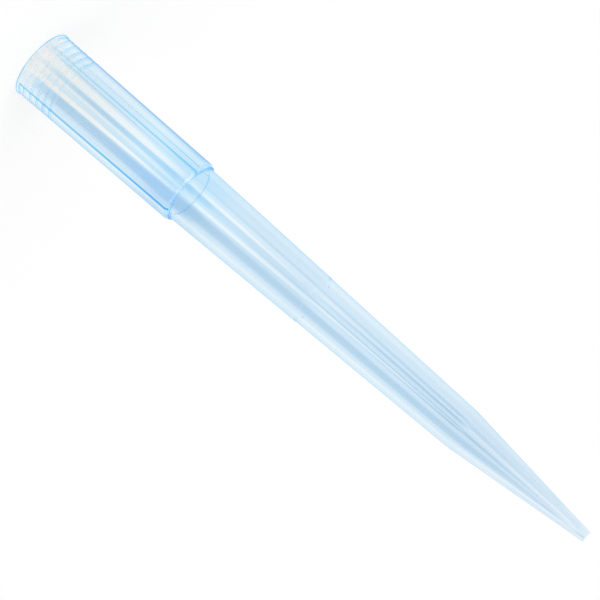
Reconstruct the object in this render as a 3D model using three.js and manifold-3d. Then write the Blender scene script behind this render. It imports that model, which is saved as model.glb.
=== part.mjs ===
// A 1000 microlitre pipette tip, moulded in one piece in clear blue polypropylene.
// Millimetres. The axis is Z, the mouth that grips the pipette is at z = 0 and the fine end is on top.
import * as THREE from "three";
import { mergeVertices } from "three/addons/utils/BufferGeometryUtils.js";
import Module from "manifold-3d";

// Heights above the mouth
const LENGTH = 84;
const COLLAR_LENGTH = 24.1;
const MARK_HEIGHT = 43.3;
const KNEE_HEIGHT = 65.7;

// Outside
const MOUTH_DIAMETER = 8.7;
const COLLAR_DRAFT = 0.55;
const LEDGE_WIDTH = 0.41;
const LEDGE_LAND = 0.2;
const CHAMFER_HEIGHT = 0.42;
const BODY_DRAFT = 1.43;
const MARK_STEP = 0.04;
const END_DIAMETER = 1.34;

// Walls and bore
const COLLAR_WALL = 0.46;
const BODY_WALL = 0.53;
const ORIFICE_DIAMETER = 0.76;
const SHOULDER_HEIGHT = 0.35;

// Lip, sealing rings and ribs on the collar
const LIP_HEIGHT = 0.07;
const LIP_WIDTH = 0.55;
const RIM_ROUND = 0.12;
const RING_COUNT = 5;
const RING_PITCH = 1.02;
const FIRST_RING = 1.22;
const RING_WIDTH = 0.4;
const RING_HEIGHT = 0.02;
const SEAL_HEIGHT = 0.06;
const RIB_MIDDLE = 99.5;
const RIB_SPREAD = 85;
const RIB_WIDTH = 0.7;
const RIB_HEIGHT = 0.05;
const RIB_RISE = 0.03;
const RIB_ROOT = 0.15;
const RIB_START = 0.5;
const END_ROUND = 0.08;

// Facets
const SEGMENTS = 64;
const ROUND_STEPS = 3;

const radians = THREE.MathUtils.degToRad;
const collarSlope = Math.tan(radians(COLLAR_DRAFT));
const bodySlope = Math.tan(radians(BODY_DRAFT));

const mouthRadius = MOUTH_DIAMETER / 2;
const collarEndRadius = mouthRadius - collarSlope * COLLAR_LENGTH;
const bodyTopRadius = collarEndRadius - LEDGE_WIDTH;
const markRadius = bodyTopRadius - bodySlope * (MARK_HEIGHT - COLLAR_LENGTH);
const kneeRadius = markRadius - MARK_STEP - bodySlope * (KNEE_HEIGHT - MARK_HEIGHT);
const endRadius = END_DIAMETER / 2;

const chamferFoot = COLLAR_LENGTH - CHAMFER_HEIGHT;

const collarRadius = (z) => mouthRadius - collarSlope * z;
const socketRadius = (z) => collarRadius(z) - COLLAR_WALL;
const boreRadius = (z) => bodyTopRadius - BODY_WALL - bodySlope * (z - COLLAR_LENGTH);

// A quarter round from one angle to another, in degrees, about a centre in the (radius, height) plane.
function quarter(radius, height, size, from, to) {
  const points = [];
  for (let step = 0; step <= ROUND_STEPS; step += 1) {
    const angle = radians(from + ((to - from) * step) / ROUND_STEPS);
    points.push([radius + size * Math.cos(angle), height + size * Math.sin(angle)]);
  }
  return points;
}

// A low rounded ring on a wall: proud of it where height is positive, and below it where it is negative.
function ring(wall, centre, width, height) {
  const foot = width / 2;
  const shoulder = width / 5;
  return [
    [wall(centre - foot), centre - foot],
    [wall(centre - shoulder) + height, centre - shoulder],
    [wall(centre + shoulder) + height, centre + shoulder],
    [wall(centre + foot), centre + foot],
  ];
}

const ringHeights = Array.from({ length: RING_COUNT }, (_, i) => FIRST_RING + i * RING_PITCH);

// Two pairs of ribs, one on each side of the tip.
const ribTurns = [0, 180].flatMap((side) => [
  RIB_MIDDLE + side - RIB_SPREAD / 2,
  RIB_MIDDLE + side + RIB_SPREAD / 2,
]);

function outside() {
  const lipRadius = mouthRadius + LIP_HEIGHT;
  return [
    ...quarter(lipRadius - RIM_ROUND, RIM_ROUND, RIM_ROUND, -90, 0),
    [lipRadius, LIP_WIDTH - LIP_HEIGHT],
    [collarRadius(LIP_WIDTH), LIP_WIDTH],
    ...ringHeights.flatMap((z) => ring(collarRadius, z, RING_WIDTH, RING_HEIGHT)),
    [collarRadius(chamferFoot), chamferFoot],
    [bodyTopRadius + LEDGE_LAND, COLLAR_LENGTH],
    [bodyTopRadius, COLLAR_LENGTH],
    [markRadius, MARK_HEIGHT],
    [markRadius - MARK_STEP, MARK_HEIGHT + MARK_STEP],
    [kneeRadius, KNEE_HEIGHT],
    ...quarter(endRadius - END_ROUND, LENGTH - END_ROUND, END_ROUND, 0, 90),
  ];
}

function inside() {
  const shoulderFoot = COLLAR_LENGTH - SHOULDER_HEIGHT;
  const rimRadius = socketRadius(0);
  return [
    [ORIFICE_DIAMETER / 2, LENGTH],
    [boreRadius(KNEE_HEIGHT), KNEE_HEIGHT],
    [boreRadius(COLLAR_LENGTH), COLLAR_LENGTH],
    [socketRadius(shoulderFoot), shoulderFoot],
    ...ringHeights.flatMap((z) => ring(socketRadius, z, RING_WIDTH, -SEAL_HEIGHT)).reverse(),
    ...quarter(rimRadius + RIM_ROUND, RIM_ROUND, RIM_ROUND, 180, 270),
  ];
}

// The tube: the whole section turned about the axis, with its wall closed on itself at the mouth.
function tubeGeometry() {
  const section = [...outside(), ...inside()].map(([x, y]) => new THREE.Vector2(x, y));
  section.push(section[0].clone());
  return new THREE.LatheGeometry(section, SEGMENTS).rotateX(Math.PI / 2);
}

// One fine rib up the outside of the collar, from the lip to the chamfer. It is rooted in the wall and stands
// a little prouder at its top than at its foot.
function ribGeometry(turn) {
  const half = RIB_WIDTH / 2;
  const section = new THREE.Shape([
    new THREE.Vector2(-RIB_ROOT, -half),
    new THREE.Vector2(0, -half),
    new THREE.Vector2(RIB_HEIGHT, -half / 3),
    new THREE.Vector2(RIB_HEIGHT, half / 3),
    new THREE.Vector2(0, half),
    new THREE.Vector2(-RIB_ROOT, half),
  ]);
  const length = chamferFoot - RIB_START;
  const rib = new THREE.ExtrudeGeometry(section, { depth: length, bevelEnabled: false });
  rib.applyMatrix4(new THREE.Matrix4().makeShear(0, 0, 0, 0, RIB_RISE / length - collarSlope, 0));
  return rib.translate(collarRadius(RIB_START), 0, RIB_START).rotateZ(turn);
}

function toSolid(library, geometry) {
  const bare = new THREE.BufferGeometry();
  bare.setAttribute("position", geometry.getAttribute("position"));
  bare.setIndex(geometry.getIndex());
  const welded = mergeVertices(bare, 1e-4);
  const mesh = { numProp: 3, vertProperties: welded.attributes.position.array };
  return new library.Manifold(
    new library.Mesh({ ...mesh, triVerts: new Uint32Array(welded.index.array) }),
  );
}

function toGeometry(solid) {
  const mesh = solid.getMesh();
  const geometry = new THREE.BufferGeometry();
  geometry.setAttribute("position", new THREE.BufferAttribute(mesh.vertProperties, 3));
  geometry.setIndex(new THREE.BufferAttribute(mesh.triVerts, 1));
  geometry.computeVertexNormals();
  return geometry;
}

async function tipGeometry() {
  const library = await Module();
  library.setup();
  let tip = toSolid(library, tubeGeometry());
  for (const turn of ribTurns) {
    tip = tip.add(toSolid(library, ribGeometry(radians(turn))));
  }
  return toGeometry(tip);
}

const bluePolypropylene = new THREE.MeshStandardMaterial({
  color: 0xb9e2fa,
  roughness: 0.12,
  metalness: 0,
  transparent: true,
  opacity: 0.45,
});

const tip = new THREE.Mesh(await tipGeometry(), bluePolypropylene);
tip.name = "pipette_tip";

const part = new THREE.Group();
part.add(tip);

export default part;
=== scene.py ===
"""A clear blue pipette tip, turned from one section by a Geometry Nodes tree, and a white stage for it."""

import math

import bpy
from bpy.props import FloatProperty, FloatVectorProperty, IntProperty, PointerProperty
from bpy.types import Operator, Panel, PropertyGroup
from mathutils import Matrix, Vector


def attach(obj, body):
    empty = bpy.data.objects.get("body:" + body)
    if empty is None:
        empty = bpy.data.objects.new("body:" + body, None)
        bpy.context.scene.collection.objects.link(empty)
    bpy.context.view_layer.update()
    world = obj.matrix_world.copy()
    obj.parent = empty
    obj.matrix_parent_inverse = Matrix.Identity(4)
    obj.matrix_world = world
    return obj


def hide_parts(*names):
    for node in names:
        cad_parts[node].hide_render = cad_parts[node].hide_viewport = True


bl_info = {
    "name": "Pipette tip",
    "version": (1, 0, 0),
    "blender": (4, 5, 0),
    "location": "3D View > Sidebar > Pipette tip",
    "description": "Makes a clear, tapered pipette tip with a ringed and ribbed collar, on a white stage",
    "category": "Add Mesh",
}

MM = 0.001
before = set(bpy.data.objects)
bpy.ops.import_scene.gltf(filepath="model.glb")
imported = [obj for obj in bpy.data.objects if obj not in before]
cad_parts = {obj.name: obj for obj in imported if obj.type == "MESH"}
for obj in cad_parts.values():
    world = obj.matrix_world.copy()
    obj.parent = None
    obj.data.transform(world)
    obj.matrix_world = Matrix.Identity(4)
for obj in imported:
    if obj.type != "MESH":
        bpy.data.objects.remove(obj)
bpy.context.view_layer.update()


# Sizes and finishes


def size(name, description, value, **more):
    """A length in millimetres as a property in metres."""
    return FloatProperty(
        name=name, description=description, default=value * MM, unit="LENGTH", precision=5, **more
    )


class TipSizes(PropertyGroup):
    """The sizes that the section is drawn from. Heights are above the mouth."""

    length: size("Length", "From the mouth to the fine end", 84)
    collar_length: size("Collar length", "From the mouth to the ledge", 24.1)
    mark_height: size("Mark height", "Height of the fill mark, a tiny step in the outside", 43.3)
    knee_height: size("Knee height", "Height at which the fine cone starts", 65.7)
    mouth_diameter: size("Mouth diameter", "Outside diameter of the collar at the mouth", 8.7)
    collar_draft: FloatProperty(
        name="Collar draft",
        description="Slope of the collar's outside and of its socket",
        default=math.radians(0.55),
        subtype="ANGLE",
    )
    body_draft: FloatProperty(
        name="Body draft",
        description="Slope of the body's outside and of its bore",
        default=math.radians(1.43),
        subtype="ANGLE",
    )
    ledge_width: size("Ledge width", "From the collar's outside to the body, at the ledge", 0.41)
    ledge_land: size("Ledge land", "Width of the flat ring that rests on a rack", 0.2)
    chamfer_height: size("Chamfer height", "Height of the chamfer round the ledge", 0.42)
    mark_step: size("Mark step", "How far the outside steps in at the fill mark", 0.04)
    end_diameter: size("End diameter", "Outside diameter of the fine end", 1.34)
    orifice_diameter: size("Orifice diameter", "Diameter of the hole at the fine end", 0.76)
    collar_wall: size("Collar wall", "Wall of the collar", 0.46)
    body_wall: size("Body wall", "Wall of the body", 0.53)
    shoulder_height: size("Shoulder height", "Height of the step inside, under the ledge", 0.35)
    lip_height: size("Lip height", "How far the mouth's lip stands proud", 0.07)
    lip_width: size("Lip width", "Height of the mouth's lip", 0.55)
    rim_round: size("Rim round", "Rounding of the mouth's rim", 0.12)
    corner_round: size("Corner round", "Rounding of the ledge's corners", 0.05)
    end_round: size("End round", "Rounding of the fine end", 0.08)


class TipDetails(PropertyGroup):
    """The rings and ribs on the collar, and how finely the tip is turned."""

    segments: IntProperty(
        name="Segments", description="Facets round the axis", default=400, min=32, max=600
    )
    ring_count: IntProperty(name="Rings", description="Number of sealing rings", default=5, min=1)
    ring_pitch: size("Ring pitch", "From one sealing ring to the next", 1.02)
    first_ring: size("First ring", "Height of the lowest sealing ring", 1.22)
    ring_width: size("Ring width", "Width of a ring", 0.4)
    ring_height: size("Ring height", "How far a ring stands out of the collar", 0.02)
    seal_height: size("Seal height", "How far a ring stands into the socket", 0.06)
    rib_middle: FloatProperty(
        name="Rib middle",
        description="Angle from +X of the line between two ribs. The other two are opposite",
        default=math.radians(99.5),
        subtype="ANGLE",
    )
    rib_spread: FloatProperty(
        name="Rib spread",
        description="Angle between the two ribs of a pair",
        default=math.radians(85),
        subtype="ANGLE",
    )
    rib_width: size("Rib width", "Width of a rib", 0.7)
    rib_height: size("Rib height", "How far a rib stands out of the collar at its lower end", 0.05)
    rib_rise: size("Rib rise", "How much farther it stands out at its upper end", 0.03)
    rib_start: size("Rib start", "Height at which the ribs start", 0.5)


class TipFinish(PropertyGroup):
    """The plastic."""

    roughness: FloatProperty(
        name="Roughness", description="Roughness of the moulded skin", default=0.0, min=0, max=1
    )
    refraction: FloatProperty(
        name="Refraction", description="Index of refraction of the plastic", default=1.49, min=1, max=2
    )
    absorption: FloatVectorProperty(
        name="Absorption",
        description="Red, green and blue that one metre of the plastic takes away, as exponents",
        default=(120.0, 40.0, 4.0),
        size=3,
    )
    # Clear is the tint of the inside, and on the outside the tint of the painted highlights.
    clear: FloatVectorProperty(
        name="Clear", description="Tint where the plastic is clearest", default=(1, 1, 1), subtype="COLOR"
    )
    tint: FloatVectorProperty(
        name="Tint", description="Tint over most of the tip", default=(0.69, 0.82, 0.93), subtype="COLOR"
    )
    # Deep is the tint of the darkest painted shade in the streaks.
    deep: FloatVectorProperty(
        name="Deep", description="Tint in the deepest flow marks", default=(0.40, 0.60, 0.78), subtype="COLOR"
    )
    # Line is the tint of one coat of painted shade on the edges, ribs, rings, lip, rim, ledge and fill mark.
    line: FloatVectorProperty(
        name="Line",
        description="Tint that one coat of ink gives the ribs and the other lines",
        default=(0.012, 0.30, 0.94),
        subtype="COLOR",
    )


class StageLook(PropertyGroup):
    """The camera and the light."""

    lens: FloatProperty(
        name="Lens", description="Focal length", default=150, subtype="DISTANCE_CAMERA"
    )
    distance: FloatProperty(
        name="Distance", description="From the camera to what it looks at", default=0.2845, unit="LENGTH"
    )
    tilt: FloatProperty(
        name="Tilt", description="How far the camera looks down", default=math.radians(12.7), subtype="ANGLE"
    )
    roll: FloatProperty(
        name="Roll",
        description="How far the camera is turned on its side",
        default=math.radians(41.02),
        subtype="ANGLE",
    )
    aim: FloatVectorProperty(
        name="Aim",
        description="The point that the camera looks at",
        default=(1.01 * MM, 0, 42.08 * MM),
        subtype="TRANSLATION",
    )
    ambient: FloatProperty(name="Ambient", description="Light from the white room", default=0.65, min=0)
    key: FloatProperty(name="Key", description="Strength of the main soft light", default=1.15, min=0)
    fill: FloatProperty(name="Fill", description="Strength of the second soft light", default=0.75, min=0)


# Node trees

# A Mix node's colour sockets, by number, because its other sockets have the same names.
MIX_A, MIX_B, MIX_RESULT = 6, 7, 2


class Wire:
    """A number that flows through a node tree, so that sums are written as sums."""

    def __init__(self, tree, socket):
        self.tree = tree
        self.socket = socket

    def __add__(self, other):
        return self.tree.maths("ADD", self, other)

    def __radd__(self, other):
        return self.tree.maths("ADD", other, self)

    def __sub__(self, other):
        return self.tree.maths("SUBTRACT", self, other)

    def __rsub__(self, other):
        return self.tree.maths("SUBTRACT", other, self)

    def __mul__(self, other):
        return self.tree.maths("MULTIPLY", self, other)

    def __rmul__(self, other):
        return self.tree.maths("MULTIPLY", other, self)

    def __truediv__(self, other):
        return self.tree.maths("DIVIDE", self, other)

    def __rtruediv__(self, other):
        return self.tree.maths("DIVIDE", other, self)

    def __gt__(self, other):
        return self.tree.maths("GREATER_THAN", self, other)

    def __lt__(self, other):
        return self.tree.maths("LESS_THAN", self, other)


class Tree:
    """A node tree and a short way to add to it."""

    def __init__(self, nodes):
        self.nodes = nodes.nodes
        self.links = nodes.links
        self.nodes.clear()

    def add(self, kind, settings=None, *values, **named):
        """Adds a node: its settings first, then its sockets in order, then its sockets by name."""
        node = self.nodes.new(kind)
        for name, value in (settings or {}).items():
            if name == "stops":
                self.set_stops(node.color_ramp, value)
            else:
                setattr(node, name, value)
        for i, value in enumerate(values):
            self.feed(node.inputs[i], value)
        for name, value in named.items():
            self.feed(node.inputs[name.replace("_", " ")], value)
        return node

    def feed(self, socket, value):
        """Gives a socket a number or a colour, or links a wire, a socket or a node's first output to it."""
        if isinstance(value, Wire):
            self.links.new(value.socket, socket)
        elif isinstance(value, bpy.types.NodeSocket):
            self.links.new(value, socket)
        elif isinstance(value, bpy.types.Node):
            self.links.new(value.outputs[0], socket)
        elif value is not None:
            socket.default_value = value

    def set_stops(self, ramp, stops):
        """Sets a ramp's stops, each a place and a grey or a colour."""
        while len(ramp.elements) > 1:
            ramp.elements.remove(ramp.elements[-1])
        for i, (place, shade) in enumerate(stops):
            stop = ramp.elements[0] if i == 0 else ramp.elements.new(place)
            stop.position = place
            colour = shade if hasattr(shade, "__len__") else (shade, shade, shade)
            stop.color = (*colour, 1)

    def maths(self, operation, *values):
        """Any other sum, by its operation's name."""
        return self.wire(self.add("ShaderNodeMath", {"operation": operation}, *values))

    def curve(self, value, stops, ease="EASE"):
        """A ramp's output for a value."""
        node = self.add("ShaderNodeValToRGB", {"stops": stops}, value)
        node.color_ramp.interpolation = ease
        return self.wire(node)

    def fade(self, value, start, end, low=0.0, high=1.0, kind="SMOOTHSTEP"):
        """Goes smoothly from low to high while the value goes from start to end."""
        settings = {"interpolation_type": kind}
        return self.wire(self.add("ShaderNodeMapRange", settings, value, start, end, low, high))

    def band(self, value, rise, fall):
        """Goes from 0 to 1 over one stretch of the value, and back to 0 over another."""
        return self.fade(value, *rise) * self.fade(value, *fall)

    def blend(self, factor, a, b, how="MIX"):
        """One colour laid over another."""
        node = self.add("ShaderNodeMix", {"data_type": "RGBA", "blend_type": how}, factor)
        self.feed(node.inputs[MIX_A], a)
        self.feed(node.inputs[MIX_B], b)
        return self.wire(node, MIX_RESULT)

    def wire(self, node, output=0):
        """A node's output as a wire."""
        return Wire(self, node.outputs[output])


# The section

# Points along half a ring, and steps down the shoulder inside the ledge.
RING_STEPS = 4
SHOULDER_STEPS = 6

# Each stretch longer than LONG has a point SUPPORT from both its ends, so that shading turns only at corners.
SUPPORT = 0.04 * MM
LONG = 0.2 * MM


def round_corner(radius, height, size, start, end, steps=6):
    """An arc from one angle to another, in degrees, about a centre in the (radius, height) plane."""
    angles = [math.radians(start + (end - start) * i / steps) for i in range(steps + 1)]
    return [(radius + size * math.cos(a), height + size * math.sin(a)) for a in angles]


def eased(before, corner, after, reach, steps=4):
    """A corner between two straight stretches, drawn as a small curve that starts at a reach from it."""
    a, b, c = Vector(before), Vector(corner), Vector(after)
    a = b + (a - b).normalized() * min(reach, (a - b).length / 2)
    c = b + (c - b).normalized() * min(reach, (c - b).length / 2)
    shares = [i / steps for i in range(steps + 1)]
    return [tuple(a * (1 - t) ** 2 + b * 2 * t * (1 - t) + c * t * t) for t in shares]


def ring_heights(details):
    """Heights at which the section has a point for each ring, so that the tree can raise it."""
    shares = [i / RING_STEPS - 1 for i in range(2 * RING_STEPS + 1)]
    centres = [details.first_ring + i * details.ring_pitch for i in range(details.ring_count)]
    return [centre + share * details.ring_width / 2 for centre in centres for share in shares]


def with_supports(points):
    """A closed line of points, with more points near both ends and in the middle of each long stretch."""
    made = []
    for (r0, z0), (r1, z1) in zip(points, points[1:] + points[:1]):
        made.append((r0, z0))
        length = math.hypot(r1 - r0, z1 - z0)
        if length > LONG:
            shares = [SUPPORT / length, 0.5, 1 - SUPPORT / length]
            made += [(r0 + (r1 - r0) * t, z0 + (z1 - z0) * t) for t in shares]
    return made


class Wall:
    """The tip's wall: the radii of its corners, and its outside and inside as (radius, height) points."""

    def __init__(self, sizes):
        self.sizes = s = sizes
        self.collar_slope, self.body_slope = math.tan(s.collar_draft), math.tan(s.body_draft)
        self.mouth = s.mouth_diameter / 2
        self.body_start = self.collar(s.collar_length) - s.ledge_width
        self.mark = self.body_start - self.body_slope * (s.mark_height - s.collar_length)
        self.knee = self.mark - s.mark_step - self.body_slope * (s.knee_height - s.mark_height)
        self.end = s.end_diameter / 2

    def collar(self, z):
        """Outer radius of the collar at a height."""
        return self.mouth - self.collar_slope * z

    def socket(self, z):
        """Inner radius of the collar at a height."""
        return self.collar(z) - self.sizes.collar_wall

    def bore(self, z):
        """Inner radius of the body at a height."""
        return self.body_start - self.sizes.body_wall - self.body_slope * (z - self.sizes.collar_length)

    def outside(self, details):
        """Up the outside, from the rim to the fine end."""
        s = self.sizes
        lip = self.mouth + s.lip_height
        points = round_corner(lip - s.rim_round, s.rim_round, s.rim_round, -90, 0)
        points += [(lip, s.lip_width / 2), (self.collar(s.lip_width), s.lip_width)]
        points += [(self.collar(z), z) for z in ring_heights(details)]
        foot = s.collar_length - s.chamfer_height
        ledge = [
            (self.collar(foot / 2), foot / 2),
            (self.collar(foot), foot),
            (self.body_start + s.ledge_land, s.collar_length),
            (self.body_start, s.collar_length),
            (self.mark, s.mark_height),
        ]
        for before, corner, after in zip(ledge, ledge[1:], ledge[2:]):
            points += eased(before, corner, after, s.corner_round)
        points += [(self.mark, s.mark_height), (self.mark - s.mark_step, s.mark_height + s.mark_step)]
        points += [(self.knee, s.knee_height)]
        return points + round_corner(self.end - s.end_round, s.length - s.end_round, s.end_round, 0, 90)

    def inside(self, details):
        """Down the inside, from the fine end to the rim."""
        s = self.sizes
        foot = s.collar_length - s.shoulder_height
        narrow, wide = self.bore(s.collar_length), self.socket(foot)
        points = [(s.orifice_diameter / 2, s.length), (self.bore(s.knee_height), s.knee_height)]
        for i in range(SHOULDER_STEPS + 1):
            down = i / SHOULDER_STEPS
            out = 0.5 - 0.5 * math.cos(math.pi * down)
            points.append((narrow + (wide - narrow) * out, s.collar_length - s.shoulder_height * down))
        points += [(self.socket(z), z) for z in reversed(ring_heights(details))]
        return points + round_corner(self.socket(0) + s.rim_round, s.rim_round, s.rim_round, 180, 270)


def tip_section(sizes, details):
    """The closed section of the wall, and how many of its points, the first ones, are on the outside."""
    wall = Wall(sizes)
    outside = wall.outside(details)
    section = with_supports(outside + wall.inside(details))
    return section, section.index(outside[-1]) + 1


# The turning tree

TREE_INPUTS = {
    "Segments": "NodeSocketInt",
    "Collar Length": "NodeSocketFloat",
    "Ring Count": "NodeSocketInt",
    "Ring Pitch": "NodeSocketFloat",
    "First Ring": "NodeSocketFloat",
    "Ring Width": "NodeSocketFloat",
    "Ring Height": "NodeSocketFloat",
    "Seal Height": "NodeSocketFloat",
    "Rib Middle": "NodeSocketFloat",
    "Rib Spread": "NodeSocketFloat",
    "Rib Width": "NodeSocketFloat",
    "Rib Height": "NodeSocketFloat",
    "Rib Rise": "NodeSocketFloat",
    "Rib Start": "NodeSocketFloat",
    "Rib End": "NodeSocketFloat",
    "Material": "NodeSocketMaterial",
}

# There are four ribs, and the facets crowd towards them by this many radians at most.
RIB_COUNT = 4
CROWDING = 0.15

# How far under the ledge the rings and ribs end at the latest, and how far under the chamfer the ribs end.
RING_CLEARANCE = 0.3 * MM
RIB_CLEARANCE = 0.05 * MM
CHAMFER_CLEARANCE = 0.01 * MM

# Points nearer to each other than this become one, where the turned sheet meets itself.
WELD = 0.001 * MM


def bump(t, distance):
    """A smooth hump, 1 at distance 0 and 0 from 1 on."""
    near = t.maths("MINIMUM", distance, 1.0) * math.pi
    return t.maths("COSINE", near) * 0.5 + 0.5


def crowded_angle(t, column, given):
    """The angle of a column of facets, with more of them near the ribs than between them."""
    even = column / given["Segments"] * math.tau
    phase = (even - given["Rib Middle"] - math.pi / RIB_COUNT) * RIB_COUNT
    return even - t.maths("SINE", phase) * CROWDING


def ring_hump(t, height, given):
    """1 on the crest of a ring and 0 between the rings."""
    step = (height - given["First Ring"]) / given["Ring Pitch"]
    nearest = t.maths("MAXIMUM", t.maths("ROUND", step), 0.0)
    nearest = t.maths("MINIMUM", nearest, given["Ring Count"] - 1)
    off = (step - nearest) * given["Ring Pitch"] / (given["Ring Width"] / 2)
    return bump(t, t.maths("ABSOLUTE", off)) * (height < given["Collar Length"] - RING_CLEARANCE)


def rib_hump(t, angle, radius, height, given):
    """1 on the crest of a rib and 0 beside it."""
    turn = t.maths("WRAP", angle - given["Rib Middle"], math.pi / 2, -math.pi / 2)
    away = t.maths("ABSOLUTE", turn) - given["Rib Spread"] / 2
    away = t.maths("ABSOLUTE", away) * radius / (given["Rib Width"] / 2)
    above = height > given["Rib Start"]
    below = height < given["Collar Length"] - RIB_CLEARANCE
    return bump(t, away) * above * below


def turning_tree():
    """Turns a section about Z, raises the rings and ribs on its collar, and gives it its material."""
    group = bpy.data.node_groups.new("Turned tip", "GeometryNodeTree")
    group.interface.new_socket("Geometry", in_out="INPUT", socket_type="NodeSocketGeometry")
    for name, kind in TREE_INPUTS.items():
        group.interface.new_socket(name, in_out="INPUT", socket_type=kind)
    group.interface.new_socket("Geometry", in_out="OUTPUT", socket_type="NodeSocketGeometry")
    t = Tree(group)
    inputs = t.add("NodeGroupInput")
    given = {name: t.wire(inputs, name) for name in TREE_INPUTS}
    section = inputs.outputs["Geometry"]
    count = t.wire(t.add("GeometryNodeAttributeDomainSize", {"component": "MESH"}, section), "Point Count")

    # A sheet with a column for each facet and a row for each point of the section, the first point twice.
    rows = count + 1
    sheet = t.add("GeometryNodeMeshGrid", None, 1.0, 1.0, given["Segments"] + 1, rows)
    index = t.wire(t.add("GeometryNodeInputIndex"))
    column = t.maths("FLOOR", (index + 0.5) / rows)
    place = t.maths("MODULO", index - column * rows, count)

    def sampled(kind, value):
        """What the section has at the sheet's row."""
        node = t.add("GeometryNodeSampleIndex", {"data_type": kind, "domain": "POINT"}, section, Index=place)
        t.feed(node.inputs["Value"], value)
        return node

    drawn = t.add("ShaderNodeSeparateXYZ", None, sampled("FLOAT_VECTOR", t.add("GeometryNodeInputPosition")))
    radius, height = t.wire(drawn, 0), t.wire(drawn, 2)
    side = t.add("GeometryNodeInputNamedAttribute", {"data_type": "FLOAT"}, "outer")
    outer = t.wire(sampled("FLOAT", side.outputs[0]))

    angle = crowded_angle(t, column, given)
    ring = ring_hump(t, height, given)
    rib = rib_hump(t, angle, radius, height, given) * outer
    up = (height - given["Rib Start"]) / (given["Rib End"] - given["Rib Start"])
    full = radius + ring * (outer * given["Ring Height"] - (1 - outer) * given["Seal Height"])
    full = full + rib * (height < given["Rib End"]) * (given["Rib Height"] + given["Rib Rise"] * up)

    x, y = full * t.maths("COSINE", angle), full * t.maths("SINE", angle)
    turned = t.add("ShaderNodeCombineXYZ", None, x, y, height)
    made = t.add("GeometryNodeSetPosition", None, sheet, Position=turned)
    for name, value in (("outer", outer), ("rib", rib), ("ring", ring * outer)):
        kept = {"data_type": "FLOAT", "domain": "POINT"}
        made = t.add("GeometryNodeStoreNamedAttribute", kept, made, Name=name, Value=value)
    made = t.add("GeometryNodeMergeByDistance", None, made, Distance=WELD)
    made = t.add("GeometryNodeSetShadeSmooth", {"domain": "FACE"}, made, Shade_Smooth=True)
    made = t.add("GeometryNodeRealizeInstances", None, made)
    made = t.add("GeometryNodeSetMaterial", None, made, Material=given["Material"])
    t.add("NodeGroupOutput", None, made)
    return group


def set_inputs(modifier, values):
    """Sets a modifier's inputs by their sockets' identifiers."""
    for item in modifier.node_group.interface.items_tree:
        if item.in_out == "INPUT" and item.name in values:
            modifier[item.identifier] = values[item.name]


def drawn_section(sizes, details):
    """The section as an object of loose points, each marked with whether it is on the outside."""
    points, outside_count = tip_section(sizes, details)
    mesh = bpy.data.meshes.new("section")
    mesh.from_pydata([(r, 0, z) for r, z in points], [], [])
    side = mesh.attributes.new("outer", "FLOAT", "POINT")
    side.data.foreach_set("value", [float(i < outside_count) for i in range(len(points))])
    section = bpy.data.objects.new("section", mesh)
    bpy.context.scene.collection.objects.link(section)
    return section


def turn_tip(sizes, details, material):
    """The tip as one plain mesh object at the origin."""
    section = drawn_section(sizes, details)
    modifier = section.modifiers.new("Turned tip", "NODES")
    modifier.node_group = turning_tree()
    values = {
        "Segments": details.segments,
        "Collar Length": sizes.collar_length,
        "Ring Count": details.ring_count,
        "Ring Pitch": details.ring_pitch,
        "First Ring": details.first_ring,
        "Ring Width": details.ring_width,
        "Ring Height": details.ring_height,
        "Seal Height": details.seal_height,
        "Rib Middle": details.rib_middle,
        "Rib Spread": details.rib_spread,
        "Rib Width": details.rib_width,
        "Rib Height": details.rib_height,
        "Rib Rise": details.rib_rise,
        "Rib Start": details.rib_start,
        "Rib End": sizes.collar_length - sizes.chamfer_height - CHAMFER_CLEARANCE,
        "Material": material,
    }
    set_inputs(modifier, values)
    shown = section.evaluated_get(bpy.context.evaluated_depsgraph_get())
    turned = bpy.data.meshes.new_from_object(shown)
    turned.name = "clear_tip"
    points = section.data
    bpy.data.objects.remove(section)
    bpy.data.meshes.remove(points)
    tip = bpy.data.objects.new("clear_tip", turned)
    bpy.context.scene.collection.objects.link(tip)
    return tip
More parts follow.
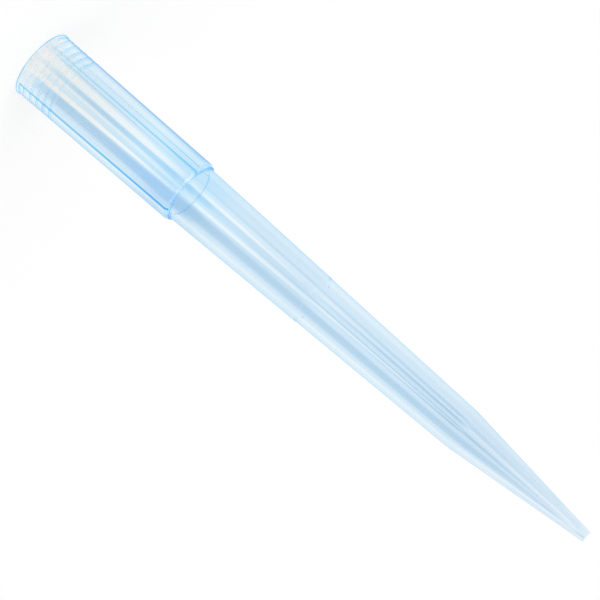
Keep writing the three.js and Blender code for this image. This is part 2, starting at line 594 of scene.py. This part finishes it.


# The plastic

# Painted highlights and painted shade run up the tip as streaks, where the tint is lighter or darker. Each is
# a path, and each stop on it is a height in mm, a place across, from -1 to 1, a half width, and a depth,
# which is below 0 where the streak is a painted highlight.
COLLAR_PAINTED_STREAKS = (
    (
        (0, -0.27, 0.17, -0.36), (13, -0.255, 0.14, -0.42),
        (19, -0.245, 0.12, -0.40), (23, -0.25, 0.12, -0.26),
    ),
    (
        (0, -0.09, 0.11, 0.12), (4, -0.09, 0.11, 0.24), (9, -0.09, 0.12, 0.40),
        (16, -0.09, 0.12, 0.34), (23, -0.11, 0.12, 0.36),
    ),
    (
        (0, 0.03, 0.06, -0.28), (6, 0.015, 0.06, -0.24),
        (16, 0.015, 0.06, -0.22), (22, 0.05, 0.06, -0.10),
    ),
    ((0, 0.10, 0.05, -0.16), (8, 0.10, 0.05, 0.0)),
    (
        (0, 0.285, 0.11, -0.62), (4, 0.275, 0.09, -0.72), (9, 0.265, 0.085, -0.70),
        (14, 0.245, 0.07, -0.56), (23, 0.235, 0.055, -0.10),
    ),
    ((10, 0.14, 0.06, 0.0), (16, 0.15, 0.07, 0.10), (23, 0.14, 0.06, 0.12)),
    ((17, 0.0, 0.04, -0.04), (20, 0.0, 0.035, 0.14), (23, 0.0, 0.035, 0.26)),
    ((0, -0.45, 0.05, 0.32), (15, -0.445, 0.05, 0.24), (24, -0.44, 0.05, 0.0)),
    ((0, -0.51, 0.06, -0.06), (20, -0.50, 0.06, -0.24)),
    (
        (0, 0.46, 0.18, -0.34), (3, 0.48, 0.18, 0.14), (6, 0.47, 0.17, 0.06),
        (14, 0.47, 0.17, 0.10), (24, 0.46, 0.19, 0.44),
    ),
    ((6, -0.96, 0.05, 0.10), (23, -0.95, 0.06, 0.75)),
    ((9, -0.90, 0.05, -0.22), (21, -0.90, 0.05, -0.22)),
    ((13, 0.73, 0.08, 0.0), (23, 0.73, 0.08, 0.16)),
    ((15, 0.93, 0.12, 0.0), (23, 0.93, 0.12, 0.15)),
    ((16, 0.64, 0.07, 0.0), (23, 0.64, 0.07, 0.16)),
)
BODY_PAINTED_STREAKS = (
    (
        (24.2, -0.24, 0.10, -0.46), (30, -0.24, 0.085, -0.44),
        (36, -0.235, 0.075, -0.24), (43, -0.23, 0.07, 0.0),
    ),
    ((24.2, -0.36, 0.09, -0.12), (43, -0.36, 0.09, -0.08)),
    ((24.2, 0.165, 0.10, -0.52), (43, 0.125, 0.06, -0.18)),
    ((24.2, 0.05, 0.04, -0.10), (43, 0.05, 0.04, -0.06)),
    ((28, 0.23, 0.07, 0.0), (43, 0.23, 0.07, 0.10)),
    ((24.2, -0.47, 0.08, 0.10), (43, -0.45, 0.08, 0.20)),
    ((24.2, -0.10, 0.13, 0.70), (26.5, -0.10, 0.12, 0.10), (43, -0.07, 0.12, 0.11)),
    ((30, 0.01, 0.05, 0.06), (43, 0.0, 0.05, 0.22)),
    ((24.2, 0.48, 0.34, 0.60), (27, 0.50, 0.32, -0.06)),
    ((24.2, -0.76, 0.10, 0.08), (43, -0.76, 0.10, 0.08)),
    ((24.2, 0.86, 0.12, -0.14), (40, 0.86, 0.10, -0.03)),
)
UPPER_PAINTED_STREAKS = (
    ((43.3, -0.31, 0.14, -0.16), (54, -0.31, 0.08, 0.04), (65.7, -0.31, 0.07, 0.08)),
    ((43.3, -0.44, 0.08, 0.14), (54, -0.42, 0.09, 0.26), (65.7, -0.40, 0.09, 0.34)),
    ((43.3, -0.21, 0.06, 0.08), (54, -0.21, 0.07, 0.40), (65.7, -0.20, 0.07, 0.50)),
    ((43.3, 0.00, 0.05, 0.24), (65.7, 0.00, 0.05, 0.38)),
    ((43.3, 0.07, 0.06, -0.28), (65.7, 0.06, 0.05, 0.0)),
    ((46, 0.13, 0.05, 0.00), (65.7, 0.12, 0.05, 0.40)),
    ((57, 0.12, 0.14, 0.0), (65.7, 0.12, 0.14, 0.14)),
    ((43.3, 0.30, 0.06, -0.10), (65.7, 0.30, 0.06, -0.02)),
    ((44, -0.12, 0.10, 0.0), (65.7, -0.10, 0.10, 0.14)),
    ((43.3, 0.86, 0.13, -0.18), (65.7, 0.84, 0.13, -0.14)),
    ((43.3, -0.75, 0.30, -0.07), (56, -0.85, 0.20, -0.03)),
    ((43.3, -0.88, 0.11, -0.10), (64, -0.86, 0.10, -0.08)),
)
CONE_PAINTED_STREAKS = (
    ((66, -0.32, 0.14, 0.20), (78, -0.32, 0.20, 0.04)),
    ((66, -0.19, 0.10, -0.12), (82, -0.08, 0.18, -0.20)),
    ((66, 0.07, 0.10, 0.44), (80, 0.12, 0.15, 0.10)),
    ((66, -0.35, 0.60, 0.06), (74, -0.40, 0.60, 0.08), (83, -0.45, 0.65, 0.12)),
    ((66, 0.22, 0.06, 0.12), (73, 0.24, 0.08, 0.03)),
    (
        (66, 0.80, 0.13, -0.12), (72, 0.78, 0.17, -0.16),
        (77, 0.72, 0.20, -0.20), (83, 0.45, 0.40, -0.26),
    ),
    (
        (68, 0.53, 0.14, 0.0), (73, 0.51, 0.16, -0.11),
        (77, 0.44, 0.14, -0.13), (80, 0.50, 0.16, 0.05),
    ),
    ((72, -0.87, 0.14, 0.0), (80, -0.85, 0.16, 0.24)),
    ((72, 0.95, 0.16, 0.12), (78, 0.92, 0.16, 0.40), (83, 0.88, 0.20, 0.34)),
)

# How deep the tint is across the whole tip, from left to right: a broad band of painted shade right of the
# middle, lighter near both sides.
BROAD_SHADING = (
    (-1.0, 0.50),
    (-0.85, 0.25),
    (-0.70, 0.46),
    (-0.40, 0.46),
    (0.22, 0.48),
    (0.38, 0.82),
    (0.50, 0.82),
    (0.68, 0.40),
    (0.86, 0.09),
    (1.0, 0.58),
)

# The ramps that hold the marks' paths reach from the mouth to this height in mm.
RAMP_REACH = 100

# A mark comes in and goes out over this many mm to either side of its ends, and it is full to this share of
# its half width.
MARK_BLEND = 0.6
MARK_CORE = 0.25

# Stretches of height in mm, each over which something comes in.
MOUTH_FADE = 4.5, 1
END_FADE = 72, 86
WARM_FADE = 18, 4
DULL_FADE = 56, 68
COLLAR_FADE = 9, 20
LEFT_FADE = 1, 5
RING_FADE = 1, 3
LAND_FADE = 23.95, 24.08
RIM_FADE = 0.26, 0.08

# Bands of height in mm: over which stretch each comes in, and over which it goes out.
DEEP_BAND = (16, 22.5), (32, 24.3)
FRESH_BAND = (10, 18), (34, 24.4)
LEDGE_BAND = (23.6, 23.75), (24.2, 24.1)
BROW_BAND = (23.4, 23.55), (23.95, 23.8)
LIP_BAND = (0.42, 0.56), (0.75, 0.6)
TICK_BAND = (43.0, 43.15), (43.45, 43.35)

# What only the collar has ends at this height in mm.
COLLAR_TOP = 24.2

# Where the warm patch is across the tip, and over which distances from there it fades out.
WARM_PLACE = -0.08
WARM_ACROSS = 0.6, 0.35

# Stretches across the tip, each over which something comes in.
FRESH_ACROSS = 0.38, 0.18
RIGHT_ACROSS = -0.3, 0.6
LEFT_ACROSS = 0.2, -0.2

# The same for how edge-on the wall is seen, which goes from 0 to 1: a wall seen edge-on gets painted shade on
# its outline and lines.
ASIDE = 0.2, 0.6
EDGE_ON = 0.66, 0.8
LEFT_EDGE_ON = 0.65, 0.8
TICK_EDGE_ON = 0.56, 0.8

# How much clearer the tint is at the mouth and the fine end, and how much deeper about the ledge.
MOUTH_CLEARING = 0.28
END_CLEARING = 0.14
LEDGE_DEEPENING = 0.18

# How much clearer the far wall's tint is at its ledge and ribs.
FAR_LEDGE_CLEARING = 0.16
FAR_RIB_CLEARING = 0.1

# The far wall looks narrower through the near one: by this share at the mouth, more for each mm up, and more
# at the sides.
FAR_NARROWING = 0.075
FAR_NARROWING_RISE = 0.001
FAR_NARROWING_SIDES = 0.05

# The near wall is in front of the axis and the far wall behind it, with this much of Y to either side of it
# for the change.
SEAM = 0.01 * MM

# The tints of one part of the tip or another, where they differ from those of the finish.
WARM_CLEAR = (0.96, 0.90, 0.85, 1)
WARM_TINT = (0.69, 0.81, 0.88, 1)
WARM_DEEP = (0.40, 0.60, 0.74, 1)
FRESH_TINT = (0.69, 0.87, 0.98, 1)
FRESH_DEEP = (0.40, 0.69, 0.93, 1)
DULL_TINT = (0.69, 0.80, 0.905, 1)
COLLAR_DEEP = (0.40, 0.63, 0.89, 1)

# Coats of painted shade on the lines. The ribs take more up the collar, for each mm, and on its right, and
# the collar's outline more on its left: painted shade on one side.
RIB_SHADE, RIB_SHADE_RISE = 0.14, 0.014
RIB_SHADE_RIGHT, RIB_SHADE_RIGHT_RISE = 0.36, 0.018
RIB_SHARPNESS = 1.5
RING_SHADE_MOUTH, RING_SHADE, RING_SHADE_ASIDE, RING_SHADE_FAR = 0.02, 0.085, 0.35, 0.035
EDGE_SHADE = 0.32
LEFT_EDGE_SHADE, LEFT_EDGE_SHADE_RISE = 0.62, 0.16
LAND_SHADE, LAND_SHADE_RIGHT, LAND_SHADE_ASIDE, LAND_SHADE_RIGHT_ASIDE = 0.05, 0.04, 0.15, 0.035
BROW_SHADE = 0.03
LIP_SHADE = 0.28
RIM_SHADE = 0.2
TICK_SHADE = 0.3

# The painted shade's ramp goes up to this many coats, in this many steps.
SHADE_REACH = 1.4
SHADE_STEPS = 7

# Light that has met more surfaces than this is caught.
CAUGHT_AFTER = 7.5

# How far the volume's density is above the greatest exponent of the absorption.
HEADROOM = 1.02


class Skin:
    """Where a point of the skin is, and what lies there."""

    def __init__(self, t):
        spot = t.add("ShaderNodeSeparateXYZ", None, t.add("ShaderNodeTexCoord").outputs["Object"])
        x, y, z = (t.wire(spot, i) for i in range(3))
        self.height = z / MM
        self.share = x / t.maths("SQRT", x * x + y * y)
        self.far = t.fade(y, -SEAM, SEAM, kind="LINEAR")
        self.near = 1 - self.far
        # The painted streaks go through both walls.
        narrowing = FAR_NARROWING + self.height * FAR_NARROWING_RISE
        narrowing = narrowing + self.share * self.share * FAR_NARROWING_SIDES
        self.across = self.share * (1 - self.far * narrowing)
        self.right = t.fade(self.share, *RIGHT_ACROSS)
        # Layer Weight's Facing gives the painted shade on the outline and lines where the wall is seen
        # edge-on.
        self.facing = t.wire(t.add("ShaderNodeLayerWeight"), "Facing")
        self.aside = t.fade(self.facing, *ASIDE)
        self.ledge = t.band(self.height, *LEDGE_BAND)
        self.collar = self.height < COLLAR_TOP
        names = ("outer", "rib", "ring")
        stored = [t.add("ShaderNodeAttribute", {"attribute_name": name}) for name in names]
        self.outer, self.rib, self.ring = (t.wire(node, "Fac") for node in stored)


def painted_streak(t, path, across, up):
    """How much one painted streak, of highlight or shade, adds to the depth. Across and up are from 0 to 1.
    """
    (low, *first), (high, *last) = path[0], path[-1]
    stops = [
        (low - MARK_BLEND, *first[:2], 0),
        (low + MARK_BLEND, *first),
        *path[1:-1],
        (high - MARK_BLEND, *last),
        (high + MARK_BLEND, *last[:2], 0),
    ]
    # One ramp up the tip holds the mark's place, half width and depth, each brought between 0 and 1.
    ramp = [(max(z, 0) / RAMP_REACH, ((a + 1) / 2, width / 2, (deep + 1) / 2)) for z, a, width, deep in stops]
    now = t.add("ShaderNodeSeparateColor", None, t.curve(up, ramp, "LINEAR"))
    place, width, deep = (t.wire(now, i) for i in range(3))
    off = t.maths("ABSOLUTE", across - place) / width
    return t.fade(off, MARK_CORE, 1, 1, 0) * (deep * 2 - 1)


def painted_shading_depth(t, skin):
    """How deep the tint is, from 0 to 1, with its painted highlights and painted shade."""
    across = skin.across * 0.5 + 0.5
    up = skin.height / RAMP_REACH
    depth = t.curve(across, [((place + 1) / 2, tint) for place, tint in BROAD_SHADING])
    # The tint is lighter at the mouth and the fine end, and darker on both sides of the ledge.
    depth = depth - t.fade(skin.height, *MOUTH_FADE, 0, MOUTH_CLEARING)
    depth = depth - t.fade(skin.height, *END_FADE, 0, END_CLEARING, "LINEAR")
    depth = depth + t.band(skin.height, *DEEP_BAND) * LEDGE_DEEPENING
    # The streaks paint highlights and shade into the tint.
    for path in COLLAR_PAINTED_STREAKS + BODY_PAINTED_STREAKS + UPPER_PAINTED_STREAKS + CONE_PAINTED_STREAKS:
        depth = depth + painted_streak(t, path, across, up)
    return depth - skin.far * (skin.ledge * FAR_LEDGE_CLEARING + skin.rib * FAR_RIB_CLEARING)


def tinted(t, finish, skin, depth):
    """The skin's colour at a depth of tint, before its lines: clear at the painted highlights, deep at the
    darkest painted shade.
    """
    # It is warmer at the mouth, fresh blue about the ledge and dull in the cone.
    beside = t.maths("ABSOLUTE", skin.across - WARM_PLACE)
    warm = t.fade(skin.height, *WARM_FADE) * t.fade(beside, *WARM_ACROSS)
    fresh = t.band(skin.height, *FRESH_BAND) * t.fade(skin.across, *FRESH_ACROSS)
    dull = t.fade(skin.height, *DULL_FADE)
    clear = t.blend(warm, (*finish.clear, 1), WARM_CLEAR)
    tint = t.blend(warm, (*finish.tint, 1), WARM_TINT)
    tint = t.blend(fresh, tint, FRESH_TINT)
    tint = t.blend(dull, tint, DULL_TINT)
    deep = t.blend(warm, (*finish.deep, 1), WARM_DEEP)
    deep = t.blend(t.fade(skin.height, *COLLAR_FADE) * skin.collar, deep, COLLAR_DEEP)
    deep = t.blend(fresh, deep, FRESH_DEEP)
    colour = t.blend(t.fade(depth, 0, 0.5, kind="LINEAR"), clear, tint)
    return t.blend(t.fade(depth, 0.5, 1, kind="LINEAR"), colour, deep)


def painted_line_shade(t, skin):
    """How many coats of painted shade the lines have: edges, rings, ribs, lip, rim, ledge and fill mark."""
    height, near, right, aside = skin.height, skin.near, skin.right, skin.aside
    left = LEFT_EDGE_SHADE + t.fade(height, *LEFT_FADE) * LEFT_EDGE_SHADE_RISE
    left = t.fade(skin.share, *LEFT_ACROSS) * left
    edge = t.fade(skin.facing, *EDGE_ON) * EDGE_SHADE
    edge = edge + t.fade(skin.facing, *LEFT_EDGE_ON) * skin.collar * left
    rings = near * (t.fade(height, *RING_FADE, RING_SHADE_MOUTH, RING_SHADE) + aside * RING_SHADE_ASIDE)
    rings = skin.ring * skin.ring * (rings + RING_SHADE_FAR)
    ribs = RIB_SHADE + height * RIB_SHADE_RISE + right * (RIB_SHADE_RIGHT + height * RIB_SHADE_RIGHT_RISE)
    ribs = t.maths("POWER", skin.rib, RIB_SHARPNESS) * near * ribs
    land = LAND_SHADE - right * LAND_SHADE_RIGHT + aside * (LAND_SHADE_ASIDE - right * LAND_SHADE_RIGHT_ASIDE)
    land = t.fade(height, *LAND_FADE) * land * skin.ledge * near
    brow = t.band(height, *BROW_BAND) * near * BROW_SHADE
    lip = t.band(height, *LIP_BAND) * aside * LIP_SHADE
    rim = t.fade(height, *RIM_FADE) * near * RIM_SHADE
    tick = t.band(height, *TICK_BAND) * t.fade(skin.facing, *TICK_EDGE_ON) * TICK_SHADE
    return (rings + edge) * (1 - skin.ledge) + land + brow + ribs + lip + rim + tick


def under_painted_shade(t, colour, coats, line):
    """A colour under so many coats of painted shade."""
    shares = [i / SHADE_STEPS for i in range(SHADE_STEPS + 1)]
    stops = [(share, tuple(c ** (share * SHADE_REACH) for c in line)) for share in shares]
    return t.blend(1.0, colour, t.curve(coats / SHADE_REACH, stops, "LINEAR"), "MULTIPLY")


def clear_plastic(finish):
    """Clear blue polypropylene: it bends light, takes red away with depth, and has painted highlights and
    painted shade in its skin.
    """
    material = bpy.data.materials.new("clear_blue_polypropylene")
    material.use_nodes = True
    t = Tree(material.node_tree)
    skin = Skin(t)
    # The tint carries painted highlights and painted shade in streaks up the tip.
    colour = tinted(t, finish, skin, painted_shading_depth(t, skin))
    # Painted shade darkens the edges, ribs, rings, lip, rim, ledge and fill mark.
    colour = under_painted_shade(t, colour, painted_line_shade(t, skin), finish.line)
    colour = t.blend(skin.outer, (*finish.clear, 1), colour)
    # Light that has been caught in the wall for long goes straight on.
    caught = t.wire(t.add("ShaderNodeLightPath"), "Ray Depth") > CAUGHT_AFTER
    plastic = t.add(
        "ShaderNodeBsdfPrincipled",
        None,
        Base_Color=colour,
        Roughness=finish.roughness,
        IOR=finish.refraction,
        Alpha=1 - caught,
        Transmission_Weight=1.0,
    )
    # The volume takes away its density times what its colour lacks, so the density is above each exponent.
    density = max(finish.absorption) * HEADROOM
    passed = [1 - a / density for a in finish.absorption]
    absorbing = t.add("ShaderNodeVolumeAbsorption", None, (*passed, 1), density)
    t.add("ShaderNodeOutputMaterial", None, plastic, absorbing)
    return material


# The stage

# This share of what the camera sees of the floor is plain white, and the rest is pale paper in its light.
FLOOR_GLOW = 0.75
PAPER = (0.92, 0.92, 0.92, 1)
WHITE = (1, 1, 1, 1)
FLOOR_RADIUS = 3
FLOOR_SIDES = 96

# Where the soft lights come from, as azimuth and elevation, and how wide they are, in degrees.
KEY_FROM = -35, 50
FILL_FROM = 50, 40
LIGHT_WIDTH = 50

# Clear plastic needs this many bounces.
BOUNCES = 32


def seen(t):
    """1 for what the camera sees, straight, in a mirror or through clear plastic."""
    path = t.add("ShaderNodeLightPath")
    rays = t.wire(path, "Is Camera Ray") + t.wire(path, "Is Glossy Ray") + t.wire(path, "Is Transmission Ray")
    return t.maths("MINIMUM", rays, 1.0)


def white_floor():
    """A wide pale floor that the camera sees as white, with the tip's shadow on it."""
    material = bpy.data.materials.new("white_floor")
    material.use_nodes = True
    t = Tree(material.node_tree)
    paper = t.add("ShaderNodeBsdfDiffuse", None, PAPER)
    glow = t.add("ShaderNodeEmission", None, WHITE, 1.0)
    both = t.add("ShaderNodeMixShader", None, seen(t) * FLOOR_GLOW, paper, glow)
    t.add("ShaderNodeOutputMaterial", None, both)
    mesh = bpy.data.meshes.new("floor")
    turns = [math.tau * i / FLOOR_SIDES for i in range(FLOOR_SIDES)]
    ring = [(FLOOR_RADIUS * math.cos(a), FLOOR_RADIUS * math.sin(a), 0) for a in turns]
    mesh.from_pydata(ring, [], [list(range(FLOOR_SIDES))])
    mesh.materials.append(material)
    floor = bpy.data.objects.new("floor", mesh)
    bpy.context.scene.collection.objects.link(floor)
    return floor


def white_room(ambient):
    """The world: white to look at, and a plain ambient light."""
    world = bpy.data.worlds.new("white_room")
    world.use_nodes = True
    t = Tree(world.node_tree)
    strength = seen(t) * (1 - ambient) + ambient
    t.add("ShaderNodeOutputWorld", None, t.add("ShaderNodeBackground", None, WHITE, strength))
    bpy.context.scene.world = world


def soft_light(name, strength, azimuth, elevation):
    """A wide, soft light from far away."""
    data = bpy.data.lights.new(name, "SUN")
    data.energy = strength
    data.angle = math.radians(LIGHT_WIDTH)
    lamp = bpy.data.objects.new(name, data)
    bpy.context.scene.collection.objects.link(lamp)
    lamp.rotation_euler = (math.radians(90 - elevation), 0, math.radians(azimuth))


def place_camera(look):
    """The camera looks down a little and is turned on its side, so that the tip lies across the picture."""
    ahead = Vector((0, math.cos(look.tilt), -math.sin(look.tilt)))
    up = Vector((0, math.sin(look.tilt), math.cos(look.tilt)))
    across = Vector((1, 0, 0))
    right = up * math.cos(look.roll) - across * math.sin(look.roll)
    down = up * math.sin(look.roll) + across * math.cos(look.roll)
    data = bpy.data.cameras.new("camera")
    data.lens = look.lens
    data.clip_start = 10 * MM
    camera = bpy.data.objects.new("camera", data)
    bpy.context.scene.collection.objects.link(camera)
    matrix = Matrix((right, -down, -ahead)).transposed().to_4x4()
    matrix.translation = Vector(look.aim) - ahead * look.distance
    camera.matrix_world = matrix
    bpy.context.scene.camera = camera


# Operators and panel


class PIPETTE_OT_tip(Operator):
    """Make the tip and put it in place of the plain one"""

    bl_idname = "pipette.tip"
    bl_label = "Make tip"
    bl_options = {"REGISTER", "UNDO"}

    def execute(self, context):
        scene = context.scene
        material = clear_plastic(scene.tip_finish)
        tip = turn_tip(scene.tip_sizes, scene.tip_details, material)
        if not tip.data.polygons:
            raise RuntimeError("the tip came out empty")
        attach(tip, "root")
        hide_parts("pipette_tip")
        return {"FINISHED"}


class PIPETTE_OT_stage(Operator):
    """Make the floor, the room, the light and the camera"""

    bl_idname = "pipette.stage"
    bl_label = "Make stage"
    bl_options = {"REGISTER", "UNDO"}

    def execute(self, context):
        scene = context.scene
        scene.view_settings.view_transform = "Standard"
        for name in ("max_bounces", "glossy_bounces", "transmission_bounces", "transparent_max_bounces"):
            setattr(scene.cycles, name, BOUNCES)
        white_floor()
        white_room(scene.stage_look.ambient)
        soft_light("key", scene.stage_look.key, *KEY_FROM)
        soft_light("fill", scene.stage_look.fill, *FILL_FROM)
        place_camera(scene.stage_look)
        return {"FINISHED"}


class PIPETTE_PT_panel(Panel):
    """Sizes, finish and stage of the pipette tip"""

    bl_label = "Pipette tip"
    bl_idname = "PIPETTE_PT_panel"
    bl_space_type = "VIEW_3D"
    bl_region_type = "UI"
    bl_category = "Pipette tip"

    def draw(self, context):
        for operator, group in (
            ("pipette.tip", context.scene.tip_sizes),
            ("pipette.tip", context.scene.tip_details),
            ("pipette.tip", context.scene.tip_finish),
            ("pipette.stage", context.scene.stage_look),
        ):
            box = self.layout.box()
            for name in group.__annotations__:
                box.prop(group, name)
            box.operator(operator)


CLASSES = (
    TipSizes,
    TipDetails,
    TipFinish,
    StageLook,
    PIPETTE_OT_tip,
    PIPETTE_OT_stage,
    PIPETTE_PT_panel,
)
GROUPS = {"tip_sizes": TipSizes, "tip_details": TipDetails, "tip_finish": TipFinish, "stage_look": StageLook}


def register():
    for kind in CLASSES:
        bpy.utils.register_class(kind)
    for name, kind in GROUPS.items():
        setattr(bpy.types.Scene, name, PointerProperty(type=kind))


def unregister():
    for name in GROUPS:
        delattr(bpy.types.Scene, name)
    for kind in reversed(CLASSES):
        bpy.utils.unregister_class(kind)


def main():
    """Makes everything."""
    register()
    bpy.ops.pipette.tip()
    bpy.ops.pipette.stage()


if __name__ == "__main__":
    main()
